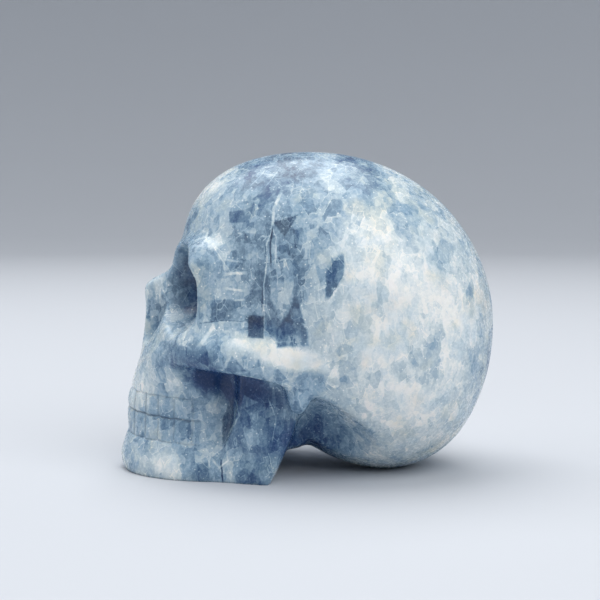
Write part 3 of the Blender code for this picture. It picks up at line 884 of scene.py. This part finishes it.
def blue_calcite():
    """Calcite is soft and takes a waxy polish. Light goes a few millimetres in: where the stone is full of
    small cleavage cracks it comes back white, and where it is clear the stone looks blue-grey and dark. The
    cracks follow flat cleavage planes, so the pale and dark parts are straight-sided blocks and cells."""
    material = bpy.data.materials.new("polished blue calcite")
    material.use_nodes = True
    tree = material.node_tree
    tree.nodes.clear()
    place = add(tree, "ShaderNodeTexCoord").outputs["Object"]
    mm = add(tree, "ShaderNodeVectorMath", {0: place, "Scale": 1 / MM}, operation="SCALE").outputs[0]
    bend = stray(tree, mm, BEND_BY_MM, {"Scale": 1 / BEND_MM, "Detail": 1.0})
    rag = stray(tree, mm, RAG_BY_MM, {"Scale": 1 / RAG_MM, "Detail": 2.0, "Roughness": 0.6})
    ragged = add(tree, "ShaderNodeVectorMath", {0: mm, 1: rag}, operation="ADD").outputs[0]
    bent = add(tree, "ShaderNodeVectorMath", {0: mm, 1: bend}, operation="ADD").outputs[0]
    uneven = add(tree, "ShaderNodeVectorMath", {0: ragged, 1: bend}, operation="ADD").outputs[0]
    cleaved = cleave(tree, uneven)

    # How pale the stone is at each point, with painted shade in its hollows and painted light on the cheek
    # ridge and the forehead rim
    patterns = stone_patterns(tree, mm, bent, cleaved)
    parts = add(tree, "ShaderNodeSeparateXYZ", {0: bent}).outputs
    side = add(tree, "ShaderNodeSeparateXYZ", {0: mm}).outputs[0]
    tone = blend_in(tree, MIDDLE_TONE, patterns, WIDE_SHARES)
    tone = add_zones(tree, tone, parts)
    tone, grey_black = add_figures(tree, tone, side, ragged)
    tone = blend_in(tree, tone, patterns, SMALL_SHARES)
    tone = add_white_lines(tree, tone, mm, cleaved, patterns)
    tone = add_specks(tree, tone, mm)

    # Its colour, from its tone
    stops = [(at, colour(shade)) for at, shade in STONE_SHADES]
    shades = add(tree, "ShaderNodeValToRGB", {"Fac": tone}, stops=stops).outputs["Color"]
    tint = add(tree, "ShaderNodeTexNoise", {"Vector": bent, "Scale": 1 / TINT_MM, "Detail": 3.0})
    places = add(tree, "ShaderNodeSeparateColor", {0: tint.outputs["Color"]}).outputs
    shades = add_tints(tree, shades, tone, places)
    smoky = smoke_of(tree, tone, places[0], parts[2])
    grey_black = add(
        tree, "ShaderNodeMath", {0: grey_black, 1: GREY_BLACK_STRENGTH}, operation="MULTIPLY"
    ).outputs[0]
    cut = add(tree, "ShaderNodeAttribute", attribute_name="tooth_line_grit_and_shade", attribute_type="GEOMETRY")
    cut = cut.outputs["Fac"]
    # The cut lines are drawn darker: grit, and painted shade in the grooves
    darkened_by_grit_and_shade = add(tree, "ShaderNodeMath", {0: cut, 1: GRIT_AND_SHADE_STRENGTH}, operation="MULTIPLY").outputs[0]
    for much, shade in ((smoky, SMOKE), (grey_black, GREY_BLACK), (darkened_by_grit_and_shade, GRIT_AND_SHADE)):
        over = {0: much, 6: shades, 7: colour(shade)}
        shades = add(tree, "ShaderNodeMix", over, data_type="RGBA").outputs[2]

    # The polish is even, but a little duller where the stone is sugary, and dull in the cut lines
    shiny, dull = POLISH_ROUGHNESS
    rough = add(
        tree,
        "ShaderNodeMapRange",
        {"Value": patterns["sugar"], "From Min": 0.3, "From Max": 0.7, "To Min": shiny, "To Max": dull},
    ).outputs[0]
    duller = {0: cut, 1: GRIT_ROUGHNESS, 2: rough}
    rough = add(tree, "ShaderNodeMath", duller, operation="MULTIPLY_ADD").outputs[0]
    pits = {"Strength": 0.12, "Distance": 0.12 * MM, "Height": patterns["sugar"]}
    bump = add(tree, "ShaderNodeBump", pits).outputs[0]
    shader = add(
        tree,
        "ShaderNodeBsdfPrincipled",
        {
            "Base Color": shades,
            "Roughness": rough,
            "IOR": 1.6,
            "Specular IOR Level": 0.3,
            "Normal": bump,
            "Subsurface Weight": 0.25,
            "Subsurface Radius": (0.7, 0.9, 1.2),
            "Subsurface Scale": 1.6 * MM,
        },
    )
    add(tree, "ShaderNodeOutputMaterial", {"Surface": shader.outputs[0]})
    return material


def matt_paper():
    """Seamless studio paper: pale, matt, and all one colour."""
    material = bpy.data.materials.new("matt pale paper")
    material.use_nodes = True
    tree = material.node_tree
    tree.nodes.clear()
    shader = add(tree, "ShaderNodeBsdfPrincipled", {"Base Color": colour("#C9CCD1"), "Roughness": 0.9})
    add(tree, "ShaderNodeOutputMaterial", {"Surface": shader.outputs[0]})
    return material


# Floor, lights and camera. The room is large, so its sizes are in metres

FLOOR_RADIUS_M = 1.2
FLOOR_SIDES = 96
FLOOR_WALL_M = 0.8
FLOOR_SWEEP_M = 1.0
FLOOR_SWEEP_STEPS = 10

SKY_COLOUR = "#DCE4EE"
SKY_STRENGTH = 0.46

# Each soft box's place and size in metres, and its watts
LIGHTS = (
    ("light over the stone", (-0.3, -0.1, 1.15), 1.1, 11.5),
    ("light from the camera's right", (0.7, 0.5, 0.9), 1.0, 8.0),
    ("light before the face", (-0.05, -1.0, 0.75), 1.3, 3.6),
)
LIGHTS_AIM_M = (0.0, 0.0, 0.045)


def sweep_radius(step):
    return FLOOR_RADIUS_M + FLOOR_SWEEP_M * math.sin(math.pi / 2 * step / FLOOR_SWEEP_STEPS)


def make_floor():
    """A round sheet of studio paper that sweeps up at its edge, so that it has no horizon from any side."""
    nothing_selected()
    bpy.ops.mesh.primitive_circle_add(
        vertices=FLOOR_SIDES, radius=FLOOR_RADIUS_M, fill_type="NGON", location=(0, 0, 0)
    )
    floor = bpy.context.view_layer.objects.active
    floor.name = "floor"
    bpy.ops.object.mode_set(mode="EDIT")
    bpy.ops.mesh.select_all(action="SELECT")
    height = 0.0
    for step in range(1, FLOOR_SWEEP_STEPS + 1):
        next_height = FLOOR_SWEEP_M * (1.0 - math.cos(math.pi / 2 * step / FLOOR_SWEEP_STEPS))
        wider = sweep_radius(step) / sweep_radius(step - 1)
        bpy.ops.mesh.extrude_region_move(TRANSFORM_OT_translate={"value": (0, 0, next_height - height)})
        bpy.ops.transform.resize(value=(wider, wider, 1.0), center_override=(0, 0, 0))
        height = next_height
    bpy.ops.mesh.extrude_region_move(TRANSFORM_OT_translate={"value": (0, 0, FLOOR_WALL_M)})
    bpy.ops.mesh.delete(type="ONLY_FACE")
    bpy.ops.object.mode_set(mode="OBJECT")
    bpy.ops.object.shade_smooth()
    floor.data.materials.append(matt_paper())


def soft_light(name, place, size, watts):
    """A square soft box of white light, aimed at the stone."""
    nothing_selected()
    turn = (Vector(LIGHTS_AIM_M) - Vector(place)).to_track_quat("-Z", "Y").to_euler()
    bpy.ops.object.light_add(type="AREA", location=place, rotation=turn)
    light = bpy.context.view_layer.objects.active
    light.name = name
    light.data.shape = "SQUARE"
    light.data.size = size
    light.data.energy = watts


def light_the_room():
    world = bpy.data.worlds.new("soft daylight")
    bpy.context.scene.world = world
    world.use_nodes = True
    sky = world.node_tree.nodes["Background"]
    sky.inputs["Color"].default_value = colour(SKY_COLOUR)
    sky.inputs["Strength"].default_value = SKY_STRENGTH
    for light in LIGHTS:
        soft_light(*light)


def place_camera():
    nothing_selected()
    down = math.radians(CAMERA_DOWN_DEGREES)
    place = [value * MM for value in CAMERA_PLACE_MM]
    bpy.ops.object.camera_add(location=place, rotation=(math.pi / 2 - down, 0.0, math.pi / 2))
    camera = bpy.context.view_layer.objects.active
    camera.name = "camera"
    camera.data.sensor_width = CAMERA_SENSOR_MM
    camera.data.lens = CAMERA_LENS_MM
    camera.data.clip_start = CAMERA_SEES_FROM_MM * MM
    bpy.context.scene.camera = camera


def show_colours_plainly():
    """The picture shows the stone's own colours, with no film look over them."""
    bpy.context.scene.view_settings.view_transform = "Standard"
    bpy.context.scene.view_settings.look = "None"


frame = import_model()
place_camera()
stone = carve_skull(frame)
stone.data.materials.append(blue_calcite())
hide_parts("skull")
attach(stone, "root")
make_floor()
light_the_room()
show_colours_plainly()
